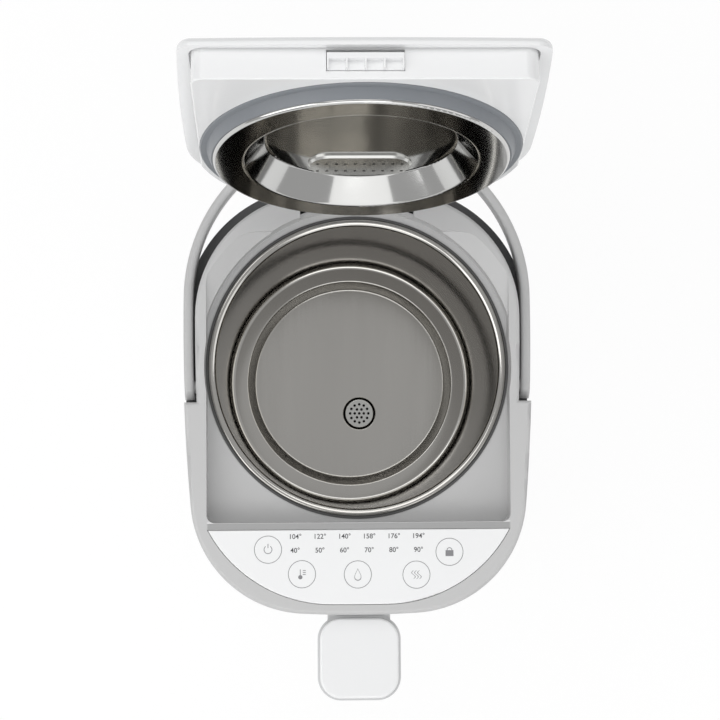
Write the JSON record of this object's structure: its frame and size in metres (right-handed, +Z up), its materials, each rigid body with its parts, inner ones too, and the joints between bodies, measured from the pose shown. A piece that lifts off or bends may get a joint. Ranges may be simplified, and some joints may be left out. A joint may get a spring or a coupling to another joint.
{
  "type": "hot water dispenser",
  "caption": "Electric hot water dispenser, tall rounded casing with hinged lid open, steel inner pot, front touch panel, spout and folded carrying handle.",
  "frame": {"origin": "on the table, under the axis of the inner pot", "axes": "+Z up, -Y towards the spout and the user, +Y towards the lid's hinge, +X to the user's right"},
  "size_m": [0.2128, 0.3628, 0.5193],
  "materials": {
    "white_plastic": "smooth moulded gloss",
    "dark_plastic": "fine matt",
    "grey_plastic": "satin moulded",
    "panel_gloss": "high gloss",
    "board_green": "solder mask",
    "screw_steel": "zinc plated",
    "pot_steel": "satin stainless",
    "steel_bright": "polished stainless",
    "heater_steel": "oxidised",
    "sheet_steel": "galvanised sheet",
    "motor_steel": "coated",
    "seal_rubber": "silicone rubber",
    "black_rubber": "matt rubber",
    "foot_rubber": "matt rubber",
    "hose_silicone": "translucent silicone",
    "black_plastic": "matt",
    "cream_plastic": "moulded",
    "base_grey": "matt",
    "handle_grey": "satin moulded",
    "felt": "needled felt",
    "glass_tube": "clear",
    "clear_window": "smoked clear plastic"
  },
  "bodies": {
    "housing": {"outer_shell": "white_plastic", "handle_channel": "dark_plastic", "collar": "grey_plastic", "control_panel": "panel_gloss", "control_board": "board_green", "control_board_screws": "screw_steel", "inner_pot": "pot_steel", "pot_seal": "black_rubber", "pot_strainer": "steel_bright", "heater_plate": "heater_steel", "heat_shield": "sheet_steel", "shield_studs": "screw_steel", "thermostat": "black_plastic", "thermistor": "black_plastic", "insulation_sleeve": "felt", "pump_motor": "motor_steel", "pump_housing": "cream_plastic", "pump_lid": "cream_plastic", "inlet_sleeve": "hose_silicone", "outlet_hose": "hose_silicone", "sight_tube": "glass_tube", "spout_hose": "hose_silicone", "water_window": "clear_window", "spout_body": "white_plastic", "spout_cover": "white_plastic", "outlet_nozzle": "grey_plastic", "power_board": "board_green", "power_board_screws": "screw_steel", "transformer": "motor_steel", "power_inlet": "black_plastic", "inlet_pins": "steel_bright", "base_plate": "base_grey", "base_feet": "foot_rubber", "base_screws": "screw_steel", "handle_pivots": "grey_plastic", "hinge_pin": "steel_bright"},
    "impeller": {"impeller": "cream_plastic", "motor_shaft": "screw_steel"},
    "handle": {"handle": "handle_grey"},
    "lid": {"lid_cover": "white_plastic", "lid_frame": "white_plastic", "lid_gasket": "seal_rubber", "inner_lid": "pot_steel", "vent_strainer": "steel_bright", "steam_duct": "white_plastic", "steam_grille": "grey_plastic", "latch_spring": "screw_steel"},
    "latch": {"latch_bar": "white_plastic"},
    "release_button": {"release_button": "grey_plastic"}
  },
  "joints": [
    {"name": "lid_hinge", "type": "hinge", "parent": "housing", "child": "lid", "pos_m": [0, 0.1043, 0.321], "axis": [-1, 0, 0], "range_deg": [-103.5, 0]},
    {"name": "handle_hinge", "type": "hinge", "parent": "housing", "child": "handle", "pos_m": [0, -0.012, 0.307], "axis": [1, 0, 0], "range_deg": [0, 8]},
    {"name": "button_slide", "type": "slide", "parent": "lid", "child": "release_button", "axis": [0, -0.9724, 0.2334], "range_m": [0, 0.003]},
    {"name": "latch_slide", "type": "slide", "parent": "lid", "child": "latch", "axis": [0, -0.2334, -0.9724], "range_m": [0, 0.003], "stiffness_N_per_m": 200, "springref_m": -0.005, "deforming": ["latch_spring"]},
    {"name": "impeller_spin", "type": "hinge", "parent": "housing", "child": "impeller", "pos_m": [0.007, -0.022, 0.04], "axis": [0, 0, 1], "continuous": true}
  ],
  "couplings": [
    {"joint": "latch_slide", "follows": "button_slide", "ratio": 1}
  ]
}
